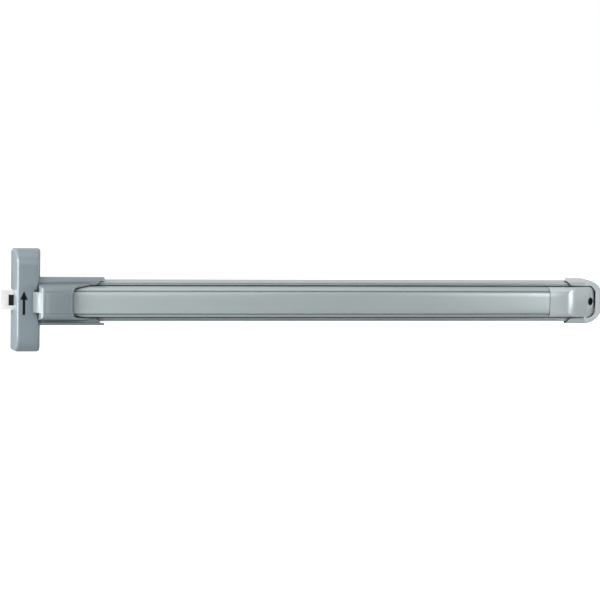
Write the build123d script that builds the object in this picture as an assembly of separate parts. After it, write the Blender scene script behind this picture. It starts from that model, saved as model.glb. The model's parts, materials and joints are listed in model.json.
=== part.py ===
from build123d import *
import math
import os

# Panic exit bar: a push bar in a rail, with a rim latch case at its -X end.
# Millimetres. X runs along the bar, the latch at -X. The door face is the
# plane Y = 0 and the device stands off it towards -Y. Z is up. The origin is
# the centre of the case's four door screws. "Depth" is the distance from the
# door face, so a point of depth p lies at Y = -p.

# ---- driving dimensions ---------------------------------------------------
WALL = 2.2                  # moulded and cast covers
GAP = 0.3                   # between pieces that only pass each other
FIT = 0.05                  # radial clearance of a pin in its bore

# lock case
CASE_WIDTH = 42.0           # at the door
CASE_HEIGHT = 146.0
CASE_DEPTH = 45.0
CASE_WALL = 2.5
CASE_DRAFT = 4.9            # each side comes in by this much at the front
CASE_NOSE_RADIUS = 22.0     # top and bottom front edges
CASE_EDGE_RADIUS = 4.5      # all round both sides
SCOOP_DEPTH = 2.8           # hollow in the side that meets the rail
SCOOP_HEIGHT = 114.0
BASE_THICKNESS = 2.5
BOLT_SPACING_X = 20.0
BOLT_SPACING_Z = 110.0
BOLT_HOLE_RADIUS = 2.75

# rail
RAIL_HEIGHT = 57.0
RAIL_DEPTH = 40.0
RAIL_WALL = 2.0
RAIL_FLOOR = 2.5
RAIL_START = 24.0
RAIL_LENGTH = 788.0
MOUTH_HALF = 23.4           # half the slot that the bar stands in

# push bar
BAR_HALF = 22.0
BAR_STANDOUT = 23.0         # the bar's face in front of the rail's
BAR_WALL = 2.0
BAR_START = 46.0
BAR_TRAVEL = 12.0
HOOK_HALF = 25.5
HOOK_THICKNESS = 2.0
CREASE_HALF = 16.6

# bar end piece
END_PIECE_LENGTH = 74.8
END_PIECE_OVERHANG = 19.3   # past the rail's end
END_SEAM = 0.8              # open line between the bar and its end piece
BEND_RADIUS = 36.0          # where the flat face turns into the slope
SLOPE_RUN = 44.0            # length of the sloped end along X
SLOPE_DROP = 32.0
END_CORNER_RADIUS = 12.0
RECESS_RADIUS = 5.7         # screw recess in the slope
RECESS_FROM_TIP = 7.4

# rail end cap
CAP_HALF = 31.8
CAP_EDGE_RADIUS = 5.0
CAP_INNER_RADIUS = 0.8
CAP_LAP = 29.0              # how far the cap laps over the rail
CAP_NOSE = 14.3             # past the bar's slot
CAP_TIP_DROP = 15.4         # how far the cap's front falls to its tip
CAP_SLANT = 12.0            # the lapping end leans back by this much at the door
CAP_LIP_RUN = 13.0          # length of the S-shaped lip

# cowl
COWL_HALF = 34.0
COWL_SKIRT_DEPTH = 24.0     # back edge of the skirt
COWL_END = 108.6
COWL_TIP_WIDTH = 2.5        # what is left of the front at the skirt's end
COWL_EDGE_RADIUS = 4.0
HUMP_COVER = 5.0            # the ridge in front of the bar's face
SHOULDER_COVER = 3.9
HUMP_EDGE_RADIUS = 7.5
HUMP_END_RADIUS = 9.0       # where the shoulders turn down at the case
HUMP_HALF_BASE = 25.8
HUMP_HALF_TOP = 23.0
RIDGE_HALF = 14.5
SHOULDER_START = 14.2
TONGUE_LENGTH = 24.5
TONGUE_OVERHANG = 8.1
RIDGE_EDGE_RADIUS = 1.0
CUT_START = 58.4            # slanted mouth, at the top of the hump
CUT_END = 92.3              # and at the rail's front

# mechanism
PIN_RADIUS = 3.0
LINK_PIN_RADIUS = 2.5
CRANK_X = (150.0, 650.0)
CRANK_DEPTH = 38.0
BAR_ARM = 24.0
ROD_ARM = 26.0
ROD_DEPTH = 12.45           # centre line of the pull rod
ROD_WIDTH = 11.0
ROD_HALF = 2.0
ROD_EYE_RADIUS = 4.1         # the rod's narrow end in the latch's fork
LATCH_HALF = 14.0
LATCH_PIVOT_X = -8.0
LATCH_PIVOT_DEPTH = 36.0
LATCH_ARM = 24.0
BARREL_RADIUS = 5.6
SPRING_X = 400.0
SPRING_RADIUS = 4.6
SPRING_WIRE = 1.4
SPRING_REST = 40.0

# ---- derived --------------------------------------------------------------
RAIL_END = RAIL_START + RAIL_LENGTH
RAIL_HALF = RAIL_HEIGHT / 2
CAP_DEPTH = RAIL_DEPTH + WALL + 0.2
CAP_TIP_DEPTH = CAP_DEPTH - CAP_TIP_DROP
COWL_DEPTH = RAIL_DEPTH + WALL + GAP
BAR_DEPTH = RAIL_DEPTH + BAR_STANDOUT
HUMP_DEPTH = BAR_DEPTH + HUMP_COVER
HUMP_SHOULDER_DEPTH = BAR_DEPTH + SHOULDER_COVER
LIP_BACK = RAIL_DEPTH - RAIL_WALL
HOOK_FRONT = LIP_BACK - GAP
HOOK_BACK = HOOK_FRONT - HOOK_THICKNESS
END_PIECE_END = RAIL_END + END_PIECE_OVERHANG
END_PIECE_START = END_PIECE_END - END_PIECE_LENGTH
BAR_END = END_PIECE_START - END_SEAM
SLOPE_START = END_PIECE_END - SLOPE_RUN
SLOPE_TIP_DEPTH = BAR_DEPTH - SLOPE_DROP
SLOPE_ANGLE = math.atan2(SLOPE_DROP, SLOPE_RUN)
MOUTH_GAP = MOUTH_HALF - BAR_HALF
MOUTH_END = END_PIECE_END + MOUTH_GAP
CAP_END = MOUTH_END + CAP_NOSE
CAP_CENTRE = CAP_END - CAP_HALF
CAP_START = RAIL_END - CAP_LAP
CRANK_SWING = math.asin(BAR_TRAVEL / 2 / BAR_ARM)
ROD_TRAVEL = 2 * ROD_ARM * math.sin(CRANK_SWING)
LATCH_SWING = math.asin(ROD_TRAVEL / 2 / LATCH_ARM)
ROD_BACK = ROD_DEPTH - ROD_WIDTH / 2
ROD_FRONT = ROD_DEPTH + ROD_WIDTH / 2
TAIL_X = LATCH_PIVOT_X - LATCH_ARM * math.sin(LATCH_SWING)
TAIL_DEPTH = LATCH_PIVOT_DEPTH - LATCH_ARM * math.cos(LATCH_SWING)
BAR_INNER = BAR_DEPTH - BAR_WALL
CASE_INNER_HALF = CASE_HEIGHT / 2 - CASE_WALL
SINK_RADIUS = 2.8
SINK_DEPTH = 1.3
PLATE_HALF = 12.0
TAB_SCREW_DEPTH = 12.0
LATCH_WINDOW_DEPTH = 21.6
PLATE_TOP = BASE_THICKNESS + 2.0
EAR_THICKNESS = 2.5
LATCH_EAR_X = (-13.2, 9.0)
LATCH_RIVET_X = (-8.5, 4.5)
LATCH_CLIP_Z = LATCH_HALF + 0.6 + EAR_THICKNESS + 0.1
COWL_SCREW_X = 82.0
COWL_SCREW_DEPTH = 32.0
CAP_SCREW_X = RAIL_END - 8.0
CAP_SCREW_DEPTH = 20.0
FOOT_SPACING = 26.0
FOOT_X = RAIL_END + 11.0
JOINER_PLACES = ((2.0, 8.5), (2.0, -8.5), (40.0, 8.5), (40.0, -8.5), (76.0, 8.5), (76.0, -8.5))
SLOPE_LENGTH = math.hypot(SLOPE_RUN, SLOPE_DROP)
RECESS_T = SLOPE_LENGTH - RECESS_FROM_TIP * 1.1
RECESS_DEPTH = 8.0
GUIDE_X = (118.0, 300.0, 560.0)
ROD_SLOT_RISE = 0.95
CARRIER_X = SPRING_X
CARRIER_SCREW_X = (CARRIER_X - 13.0, CARRIER_X - 7.0)
BRACKET_X = SPRING_X + SPRING_REST
SPRING_Z = 14.0
SPRING_P = ROD_DEPTH + 3
NOSE_X = -37.4
NOSE_BACK = 10.9
NOSE_FRONT = 14.4
TRIGGER_X = -11.2
TRIGGER_DEPTH = 24.4
WINDOW_HALF = 7.8
WINDOW_X = -25.6


# ---- helpers --------------------------------------------------------------
def block(x0, x1, p0, p1, z0, z1):
    """Box between two corners given as X, depth and Z."""
    centre = Pos((x0 + x1) / 2, -(p0 + p1) / 2, (z0 + z1) / 2)
    return centre * Box(x1 - x0, p1 - p0, z1 - z0)


def section_plane(x):
    """Plane across the bar at x; sketch coordinates are (Z, depth)."""
    return Plane(origin=(x, 0, 0), x_dir=(0, 0, 1), z_dir=(1, 0, 0))


def front_plane(p):
    """Plane parallel to the door at depth p; sketch coordinates are (X, Z)."""
    return Plane(origin=(0, -p, 0), x_dir=(1, 0, 0), z_dir=(0, -1, 0))


def plan_plane(z):
    """Level plane; sketch coordinates are (X, depth)."""
    return Plane(origin=(0, 0, z), x_dir=(1, 0, 0), z_dir=(0, 0, -1))


def polygon(points):
    """Closed flat face through the given points."""
    return make_face(Polyline(*points, close=True))


def mirrored(half):
    """Section face from the +Z half of its outline, listed from the door out."""
    return polygon(half + [(-z, p) for z, p in reversed(half)])


def along(face, x0, x1):
    """Section face drawn out along X."""
    return extrude(section_plane(x0) * face, amount=x1 - x0)


def plan(face, half_height):
    """Plan face made thick, the same amount above and below Z = 0."""
    return extrude(plan_plane(0) * face, amount=half_height, both=True)


def upright(x, p, radius, z0, z1):
    """Round bar with its axis along Z."""
    return Pos(x, -p, (z0 + z1) / 2) * Cylinder(radius, abs(z1 - z0))


def outward(x, z, radius, p0, p1):
    """Round bar with its axis square to the door."""
    return Pos(x, -(p0 + p1) / 2, z) * Rot(90, 0, 0) * Cylinder(radius, p1 - p0)


def lengthwise(x0, x1, p, z, radius):
    """Round bar with its axis along X."""
    return Pos((x0 + x1) / 2, -p, z) * Rot(0, 90, 0) * Cylinder(radius, x1 - x0)


def clip(x, p, z, groove, rim=2.0, thickness=0.8):
    """Spring clip on a pin that runs along Z."""
    ring = Cylinder(groove + rim, thickness) - Cylinder(groove + FIT, 2 * thickness)
    slot = Pos(0, groove + rim, 0) * Box(1.1 * groove, 2 * rim + groove, 2 * thickness)
    return Pos(x, -p, z) * (ring - slot)


def side_screw(x, p, z, sign, length, shank=1.5):
    """Socket screw sunk flush in a top face (sign 1) or a bottom face (sign -1)."""
    shaft = Pos(0, 0, -length / 2) * Cylinder(shank, length)
    cap = Pos(0, 0, -SINK_DEPTH / 2) * Cylinder(SINK_RADIUS - 0.15, SINK_DEPTH - 0.1)
    socket = extrude(RegularPolygon(1.2, 6), amount=-0.9)
    screw = shaft + cap - socket
    turn = Rot(0, 0, 0) if sign > 0 else Rot(180, 0, 0)
    return Pos(x, -p, z) * turn * screw


def sink(x, p, z, sign):
    """Counterbored hole for a side screw."""
    z0, z1 = z - sign * 6, z + sign
    hole = upright(x, p, 1.7, z0, z1)
    return hole + upright(x, p, SINK_RADIUS, z - sign * SINK_DEPTH, z1)


def save(name, solids):
    """Write one node, a solid or a list of solids."""
    shape = Compound(children=solids) if isinstance(solids, list) else solids
    export_step(shape, f"parts/{name}.step")


# ---- lock case ------------------------------------------------------------
def case_block(inset):
    """The case as a solid, every outer face moved in by the inset."""
    half = CASE_WIDTH / 2 - inset
    top = CASE_HEIGHT / 2 - inset
    front = CASE_DEPTH - inset
    back = -1.0 if inset else 0.0
    lean = CASE_DRAFT / CASE_DEPTH
    plan_face = polygon([
        (-half + lean * back, back), (half - lean * back, back),
        (half - lean * front, front), (-half + lean * front, front),
    ])
    body = plan(plan_face, top)
    side = make_face(FilletPolyline(
        (-top, back), (-top, front), (top, front), (top, back),
        radius=CASE_NOSE_RADIUS - inset) + Line((top, back), (-top, back)))
    body = body & along(side, -CASE_WIDTH, CASE_WIDTH)
    if not inset:
        rim = body.edges().filter_by(lambda e: e.center().Y < -0.01)
        rim = rim.filter_by(lambda e: abs(e.center().X) > CASE_WIDTH / 4)
        body = fillet(rim, CASE_EDGE_RADIUS)
    return body - scoop(inset)


def scoop(inset):
    """Shallow round hollow down the side of the case that meets the rail."""
    radius = (SCOOP_HEIGHT / 2) ** 2 / (2 * SCOOP_DEPTH)
    lean = math.degrees(math.atan2(CASE_DRAFT + SCOOP_DEPTH, CASE_DEPTH))
    tool = Rot(90, 0, 0) * Cylinder(radius, 4 * CASE_DEPTH)
    tool = Rot(0, 0, -lean) * Pos(radius, 0, 0) * tool
    return Pos(CASE_WIDTH / 2 - inset, 0, 0) * tool


def make_case_cover():
    """Cast cover with windows for the latch and for the pull rod."""
    cover = case_block(0.0) - case_block(CASE_WALL)
    window = LATCH_HALF + 0.6
    cover -= block(-CASE_WIDTH, -CASE_WIDTH / 4, -1, LATCH_WINDOW_DEPTH, -window, window)
    cover -= block(CASE_WIDTH / 4, CASE_WIDTH, -1, 24, -PLATE_HALF - 1, PLATE_HALF + 1)
    for sign in (1, -1):
        cover -= sink(0, TAB_SCREW_DEPTH, sign * CASE_HEIGHT / 2, sign)
    return cover


def make_case_base():
    """Steel plate on the door, with a turned-up tab at each end for the cover."""
    half_x = CASE_WIDTH / 2 - CASE_WALL - 0.6
    half_z = CASE_INNER_HALF - GAP
    outline = RectangleRounded(2 * half_x, 2 * half_z, 1.0)
    plate = extrude(front_plane(0) * outline, amount=BASE_THICKNESS)
    plate -= block(-CASE_WIDTH, -4.5, -1, BASE_THICKNESS + 1, -LATCH_HALF - 0.6, LATCH_HALF + 0.6)
    for sign in (1, -1):
        z0, z1 = sorted((sign * (half_z - 2.5), sign * half_z))
        plate += block(-7, 7, 0, TAB_SCREW_DEPTH + 6, z0, z1)
        plate -= upright(0, TAB_SCREW_DEPTH, 1.5, sign * (half_z - 4), sign * (half_z + 1))
    for x in (-BOLT_SPACING_X / 2, BOLT_SPACING_X / 2):
        for z in (-BOLT_SPACING_Z / 2, BOLT_SPACING_Z / 2):
            plate -= outward(x, z, BOLT_HOLE_RADIUS, -1, BASE_THICKNESS + 1)
    return plate


def make_case_cover_screws():
    """One screw through each end of the case into the base's tab."""
    end = CASE_HEIGHT / 2
    return [side_screw(0, TAB_SCREW_DEPTH, sign * end, sign, 6.5) for sign in (1, -1)]


def make_latch_bracket():
    """Two ears for the latch pin, tied by a web that the pull rod passes."""
    inner = LATCH_HALF + 0.6
    outer = inner + EAR_THICKNESS
    x0, x1 = LATCH_EAR_X
    shape = None
    for sign in (1, -1):
        z0, z1 = sorted((sign * inner, sign * outer))
        ear = block(x0, x1, BASE_THICKNESS, LATCH_PIVOT_DEPTH + 4, z0, z1)
        f0, f1 = sorted((sign * inner, sign * (outer + 15)))
        foot = block(x0, x1, BASE_THICKNESS, BASE_THICKNESS + 2, f0, f1)
        for hole_x in LATCH_RIVET_X:
            foot -= outward(hole_x, sign * (outer + 8), 2.0, 0, 9)
        shape = ear + foot if shape is None else shape + ear + foot
    web = block(x1 - 2, x1, PLATE_TOP + GAP, LATCH_PIVOT_DEPTH + 4, -outer, outer)
    web -= block(x1 - 3, x1 + 1, 0, ROD_FRONT + 3, -6, 6)
    shape += web
    bore = upright(LATCH_PIVOT_X, LATCH_PIVOT_DEPTH, PIN_RADIUS, -outer - 1, outer + 1)
    return shape - bore


def make_latch_rivets():
    """Rivets that hold the latch bracket's feet to the base plate."""
    z = LATCH_HALF + 0.6 + EAR_THICKNESS + 8
    rivets = []
    for x in LATCH_RIVET_X:
        for sign in (1, -1):
            shank = outward(x, sign * z, 2.0, BASE_THICKNESS, BASE_THICKNESS + 2)
            head = outward(x, sign * z, 3.4, BASE_THICKNESS + 2, BASE_THICKNESS + 3.4)
            rivets.append(shank + head)
    return rivets


def pivot_pin(x, p, half_length, radius=PIN_RADIUS, groove_at=None):
    """Pin along Z with a clip groove near each end."""
    pin = upright(x, p, radius, -half_length, half_length)
    if groove_at is not None:
        for sign in (1, -1):
            z0, z1 = sorted((sign * groove_at, sign * (groove_at + 0.9)))
            band = upright(x, p, radius + 1, z0, z1) - upright(x, p, radius - 0.6, z0, z1)
            pin -= band
    return pin


def pin_clips(x, p, groove_at, radius=PIN_RADIUS):
    """The two clips that hold a pivot pin."""
    middle = groove_at + 0.45
    return [clip(x, p, sign * middle, radius - 0.6) for sign in (1, -1)]


# ---- rail -----------------------------------------------------------------
def make_rail():
    """Drawn channel with inward lips, its floor against the door."""
    half = RAIL_HALF
    wall = RAIL_WALL
    profile = mirrored([
        (0, 0), (half, 0), (half, RAIL_DEPTH - 0.8), (half - 0.8, RAIL_DEPTH),
        (half - 2.6, RAIL_DEPTH), (half - 3.1, RAIL_DEPTH - 0.5),
        (half - 3.6, RAIL_DEPTH), (MOUTH_HALF, RAIL_DEPTH), (MOUTH_HALF, LIP_BACK),
        (half - wall, LIP_BACK), (half - wall, RAIL_FLOOR), (0, RAIL_FLOOR),
    ][1:-1])
    rail = along(profile, RAIL_START, RAIL_END)
    for sign in (1, -1):
        for x, p in ((COWL_SCREW_X, COWL_SCREW_DEPTH), (CAP_SCREW_X, CAP_SCREW_DEPTH)):
            rail -= upright(x, p, 1.5, sign * (half - wall - 1), sign * (half + 1))
    return rail


def make_far_bracket():
    """Stepped foot that the rail's far end hangs on, with two door holes."""
    reach = CAP_END - CAP_CENTRE - WALL - 1.5
    disc = outward(CAP_CENTRE, 0, reach, 0, RAIL_FLOOR + 2)
    lap_half = RAIL_HALF - RAIL_WALL - 1
    pad = disc & block(RAIL_END + GAP, CAP_END, 0, RAIL_FLOOR + 2, -CAP_HALF, CAP_HALF)
    lap = block(RAIL_END - 34, RAIL_END + 4, RAIL_FLOOR, RAIL_FLOOR + 2, -lap_half, lap_half)
    bracket = pad + lap
    for z in (-FOOT_SPACING / 2, FOOT_SPACING / 2):
        bracket -= outward(FOOT_X, z, BOLT_HOLE_RADIUS, -1, RAIL_FLOOR + 3)
        bracket -= outward(RAIL_END - 24, z, 2.0, 0, RAIL_FLOOR + 3)
    return bracket


def make_far_rivets():
    """Rivets that hold the foot's lap to the rail's floor."""
    rivets = []
    for z in (-FOOT_SPACING / 2, FOOT_SPACING / 2):
        shank = outward(RAIL_END - 24, z, 2.0, RAIL_FLOOR, RAIL_FLOOR + 2)
        head = outward(RAIL_END - 24, z, 3.6, RAIL_FLOOR + 2, RAIL_FLOOR + 3.5)
        rivets.append(shank + head)
    return rivets


def make_joining_plate():
    """Flat plate that ties the rail's floor to the case's base."""
    plate = block(-4, 88, BASE_THICKNESS, PLATE_TOP, -PLATE_HALF, PLATE_HALF)
    for x, z in JOINER_PLACES:
        plate -= outward(x, z, 2.0, 0, PLATE_TOP + 1)
    return plate


def make_joiner_screws():
    """Low-head screws through the joining plate."""
    screws = []
    for x, z in JOINER_PLACES:
        shank = outward(x, z, 2.0, BASE_THICKNESS, PLATE_TOP)
        head = outward(x, z, 3.3, PLATE_TOP, PLATE_TOP + 1.6)
        socket = extrude(front_plane(PLATE_TOP + 1.6) * Pos(x, z) * RegularPolygon(1.4, 6), amount=-1)
        screws.append(shank + head - socket)
    return screws


# ---- rail end cap ---------------------------------------------------------
def cap_block(inset):
    """The end cap as a solid: a round-nosed box with a large edge radius."""
    half = CAP_HALF - inset
    top = CAP_DEPTH - inset
    radius = CAP_INNER_RADIUS if inset else CAP_EDGE_RADIUS
    back = -1.0 if inset else 0.0
    outline = (Polyline((0, back), (half, back), (half, top - radius))
               + CenterArc((half - radius, top - radius), radius, 0, 90)
               + Polyline((half - radius, top), (0, top), (0, back)))
    face = make_face(outline)
    straight = along(face + mirror(face, Plane.YZ), CAP_START - 1, CAP_CENTRE)
    quarter = section_plane(0) * face
    nose = revolve(quarter, Axis((0, 0, 0), (0, -1, 0)), 360)
    body = straight + Pos(CAP_CENTRE, 0, 0) * nose
    slope = polygon([
        (RAIL_END + 2, top), (CAP_END, CAP_TIP_DEPTH - inset), (CAP_END + 9, CAP_TIP_DEPTH - inset - 4),
        (CAP_END + 9, top + 9), (RAIL_END + 2, top + 9),
    ])
    return body - plan(slope, CAP_HALF + 5)


def s_curve(x0, x1, z0, z1):
    """Smooth S between two points of the front view, level at both ends."""
    reach = 0.55 * (x1 - x0)
    return Bezier((x0, z0), (x0 + reach, z0), (x1 - reach, z1), (x1, z1))


def make_end_cap():
    """Cap over the rail's far end, slotted for the bar's end piece."""
    cap = cap_block(0.0) - cap_block(WALL)
    slot = Pos(MOUTH_END - 60, 0) * RectangleRounded(120, 2 * MOUTH_HALF, END_CORNER_RADIUS)
    cap -= extrude(front_plane(CAP_DEPTH - 16) * slot, amount=20)
    lip_x = CAP_START + CAP_LIP_RUN
    for sign in (1, -1):
        edge = s_curve(CAP_START, lip_x, sign * (CAP_HALF - 1.0), sign * (MOUTH_HALF + 0.5))
        waste = make_face(edge + Polyline(
            (lip_x, sign * (MOUTH_HALF + 0.5)), (lip_x, 0), (CAP_START - 9, 0),
            (CAP_START - 9, sign * (CAP_HALF - 1.0)), (CAP_START, sign * (CAP_HALF - 1.0))))
        cap -= extrude(front_plane(CAP_DEPTH - 10) * waste, amount=20)
    lean = CAP_SLANT / CAP_DEPTH
    lap = polygon([
        (CAP_START - 9, -2), (CAP_START + CAP_SLANT + 2 * lean, -2),
        (CAP_START - 2 * lean, CAP_DEPTH + 2), (CAP_START - 9, CAP_DEPTH + 2),
    ])
    cap -= plan(lap, CAP_HALF + 2)
    for sign in (1, -1):
        cap -= sink(CAP_SCREW_X, CAP_SCREW_DEPTH, sign * CAP_HALF, sign)
    return cap


def make_end_cap_screws():
    """A screw in the top and one in the bottom of the end cap."""
    return [side_screw(CAP_SCREW_X, CAP_SCREW_DEPTH, sign * CAP_HALF, sign, CAP_HALF - RAIL_HALF + RAIL_WALL)
            for sign in (1, -1)]


# ---- cowl -----------------------------------------------------------------
def rounded_section(points, radius):
    """Symmetric section with its corners rounded, from its +Z half."""
    whole = points + [(-z, p) for z, p in reversed(points)]
    return make_face(FilletPolyline(*whole, radius=radius) + Line(whole[-1], whole[0]))


def cowl_hump(inset):
    """Raised neck: shoulders with a low ridge that turns down onto the case."""
    flare = (HUMP_HALF_BASE - HUMP_HALF_TOP) / (HUMP_SHOULDER_DEPTH - COWL_DEPTH)
    low = RAIL_DEPTH - 3.0
    low_half = HUMP_HALF_BASE + flare * (COWL_DEPTH - low)
    top = HUMP_SHOULDER_DEPTH - inset
    section = rounded_section(
        [(low_half - inset, low), (HUMP_HALF_TOP - inset, top)], HUMP_EDGE_RADIUS - inset)
    start = SHOULDER_START + inset
    shoulders = along(section, start, COWL_END)
    side = make_face(FilletPolyline(
        (start, low), (start, top), (COWL_END, top), radius=HUMP_END_RADIUS - inset)
        + Polyline((COWL_END, top), (COWL_END, low), (start, low)))
    shoulders = shoulders & plan(side, HUMP_HALF_BASE + 3)
    ridge = rounded_section(
        [(RIDGE_HALF - inset, low), (RIDGE_HALF - inset, HUMP_DEPTH - inset)],
        RIDGE_EDGE_RADIUS if not inset else RIDGE_EDGE_RADIUS / 2)
    tongue_x = SHOULDER_START - TONGUE_OVERHANG + inset
    bend_x = tongue_x + TONGUE_LENGTH
    rise = HUMP_DEPTH - inset - CASE_DEPTH
    waste = block(tongue_x - 1, bend_x, CASE_DEPTH, HUMP_DEPTH + 2, -HUMP_HALF_BASE, HUMP_HALF_BASE)
    bend = plan(Pos(bend_x, CASE_DEPTH) * Ellipse(TONGUE_LENGTH, rise), HUMP_HALF_BASE + 2)
    neck = shoulders + (along(ridge, tongue_x, COWL_END) - (waste - bend))
    base = CASE_DEPTH + GAP if not inset else CASE_DEPTH - 6
    return neck - block(0, RAIL_START - 2.4 + inset, 0, base, -40, 40)


def cowl_flange(inset):
    """Low skirt that saddles the rail."""
    half = COWL_HALF - inset
    top = COWL_DEPTH - inset
    back = COWL_SKIRT_DEPTH - (1.0 if inset else 0.0)
    face = rounded_section([(half, back), (half, top)], COWL_EDGE_RADIUS - inset)
    return along(face, CASE_WIDTH / 4 - inset, COWL_END + inset)


def make_cowl():
    """Moulded cowl: skirt on the rail, hump over the bar, tongue on the case."""
    cowl = cowl_flange(0.0) + cowl_hump(0.0)
    cowl -= cowl_flange(WALL)
    cowl -= cowl_hump(WALL)
    cowl -= case_block(-GAP)
    run = CUT_END - CUT_START
    fall = HUMP_DEPTH - RAIL_DEPTH
    mouth = polygon([
        (CUT_START - run / fall * 4, HUMP_DEPTH + 4), (CUT_END, RAIL_DEPTH),
        (CUT_END, RAIL_DEPTH - 6), (COWL_END + 9, RAIL_DEPTH - 6), (COWL_END + 9, HUMP_DEPTH + 4),
    ])
    cowl -= plan(mouth, MOUTH_HALF)
    above = polygon([
        (CUT_START - run / fall * 4, HUMP_DEPTH + 4),
        (CUT_START + run / fall * (HUMP_DEPTH - COWL_DEPTH), COWL_DEPTH),
        (COWL_END + 9, COWL_DEPTH), (COWL_END + 9, HUMP_DEPTH + 4),
    ])
    cowl -= plan(above, COWL_HALF + 5)
    tip_half = COWL_HALF - COWL_TIP_WIDTH
    for sign in (1, -1):
        edge = s_curve(CUT_END, COWL_END, sign * (MOUTH_HALF - 0.2), sign * tip_half)
        waste = make_face(edge + Polyline(
            (COWL_END, sign * tip_half), (COWL_END + 9, sign * tip_half), (COWL_END + 9, 0),
            (CUT_END, 0), (CUT_END, sign * (MOUTH_HALF - 0.2))))
        cowl -= extrude(front_plane(RAIL_DEPTH) * waste, amount=9)
        cowl += upright(COWL_SCREW_X, COWL_SCREW_DEPTH, 4.0, sign * (RAIL_HALF + GAP),
                        sign * (COWL_HALF - WALL / 2))
        cowl -= sink(COWL_SCREW_X, COWL_SCREW_DEPTH, sign * COWL_HALF, sign)
    return cowl


def make_cowl_screws():
    """A screw in the top and one in the bottom of the cowl's skirt."""
    return [side_screw(COWL_SCREW_X, COWL_SCREW_DEPTH, sign * COWL_HALF, sign, COWL_HALF - RAIL_HALF + RAIL_WALL)
            for sign in (1, -1)]


# ---- push bar -------------------------------------------------------------
def bar_outline(grooved):
    """Half outline of the bar, from the hook up to the crowned face."""
    points = [
        (HOOK_HALF, HOOK_BACK), (HOOK_HALF, HOOK_FRONT), (BAR_HALF, HOOK_FRONT),
        (BAR_HALF, BAR_DEPTH - 18), (BAR_HALF - 1.4, BAR_DEPTH - 7.5),
        (BAR_HALF - 2.8, BAR_DEPTH - 4.6), (BAR_HALF - 4.4, BAR_DEPTH - 3.1),
    ]
    if grooved:
        points += [(CREASE_HALF + 0.4, BAR_DEPTH - 3.1), (CREASE_HALF - 0.2, BAR_DEPTH - 3.9),
                   (CREASE_HALF - 0.8, BAR_DEPTH - 3.4)]
    points += [(CREASE_HALF - 1.3, BAR_DEPTH - 1.1), (CREASE_HALF - 2.4, BAR_DEPTH - 0.5),
               (8.0, BAR_DEPTH - 0.12)]
    return points


def bar_inner():
    """Half outline of the bar's hollow."""
    side = BAR_HALF - BAR_WALL
    return [
        (side, HOOK_BACK - 1), (side, BAR_DEPTH - 18), (BAR_HALF - 3.4, BAR_DEPTH - 8),
        (BAR_HALF - 5, BAR_DEPTH - 5.8), (CREASE_HALF - 3.4, BAR_DEPTH - 5.4),
        (CREASE_HALF - 3.6, BAR_INNER - 0.9), (8.0, BAR_INNER - 0.2),
    ]


def make_push_bar():
    """Extruded bar with a hook along each leg that stops under the rail's lip."""
    outer = along(mirrored(bar_outline(True)), BAR_START, BAR_END)
    return outer - along(mirrored(bar_inner()), BAR_START - 1, BAR_END + 1)


def slope_point(t, offset):
    """Point t along the slope, moved in from its surface by the offset."""
    c, s = math.cos(SLOPE_ANGLE), math.sin(SLOPE_ANGLE)
    return (SLOPE_START + t * c - offset * s, BAR_DEPTH - t * s - offset * c)


def slope_axis(t, radius, depth0, depth1):
    """Round bar square to the slope, between two depths below its surface."""
    x, p = slope_point(t, (depth0 + depth1) / 2)
    tilt = math.degrees(math.atan2(math.sin(SLOPE_ANGLE), math.cos(SLOPE_ANGLE)))
    return Pos(x, -p, 0) * Rot(0, 0, tilt) * Rot(90, 0, 0) * Cylinder(radius, depth1 - depth0)


def end_piece_block(inset):
    """The end piece as a solid, every outer face moved in by the inset."""
    rise = 0.8 * inset
    half = [
        (BAR_HALF - inset, HOOK_BACK - 12), (BAR_HALF - inset, BAR_DEPTH - 18),
        (BAR_HALF - 1.4 - inset, BAR_DEPTH - 7.5), (BAR_HALF - 2.8 - inset, BAR_DEPTH - 4.6 - rise),
        (BAR_HALF - 4.6 - inset, BAR_DEPTH - 2.4 - inset),
        (CREASE_HALF - 2.0 - inset, BAR_DEPTH - 0.9 - inset), (8.0, BAR_DEPTH - 0.12 - inset),
    ]
    body = along(mirrored(half), END_PIECE_START, END_PIECE_END - inset)
    low = HOOK_BACK - 12
    foot = SLOPE_TIP_DEPTH - 4.5
    face = slope_point(0, inset)
    tip = slope_point(SLOPE_LENGTH, inset)
    side = make_face(FilletPolyline(
        (END_PIECE_START - 5, BAR_DEPTH - inset), (face[0] + 0.35 * inset, BAR_DEPTH - inset), tip,
        radius=BEND_RADIUS - inset) + Polyline(tip, (END_PIECE_END + 1, tip[1]), (END_PIECE_END + 1, low),
                                (END_PIECE_START - 5, low), (END_PIECE_START - 5, BAR_DEPTH - inset)))
    body = body & plan(side, BAR_HALF + 1)
    length = END_PIECE_END - inset - END_PIECE_START + 60
    outline = Pos(END_PIECE_START - 60 + length / 2, 0) * RectangleRounded(
        length, 2 * (BAR_HALF - inset), END_CORNER_RADIUS - inset)
    body = body & extrude(front_plane(low - 1) * outline, amount=60)
    return body if inset else body - block(0, CAP_END, 0, foot - 3, -CAP_HALF, CAP_HALF)


def make_bar_end_piece():
    """Moulded end of the bar, sloped down to the rail, with a screw recess."""
    shell = end_piece_block(0.0) - end_piece_block(WALL)
    boss = slope_axis(RECESS_T, RECESS_RADIUS + 1.6, 1.0, RECESS_DEPTH) & end_piece_block(0.0)
    shell += boss
    shell -= slope_axis(RECESS_T, RECESS_RADIUS, -6, RECESS_DEPTH - 2)
    return shell - slope_axis(RECESS_T, 2.65, 0, RECESS_DEPTH + 1)


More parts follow.
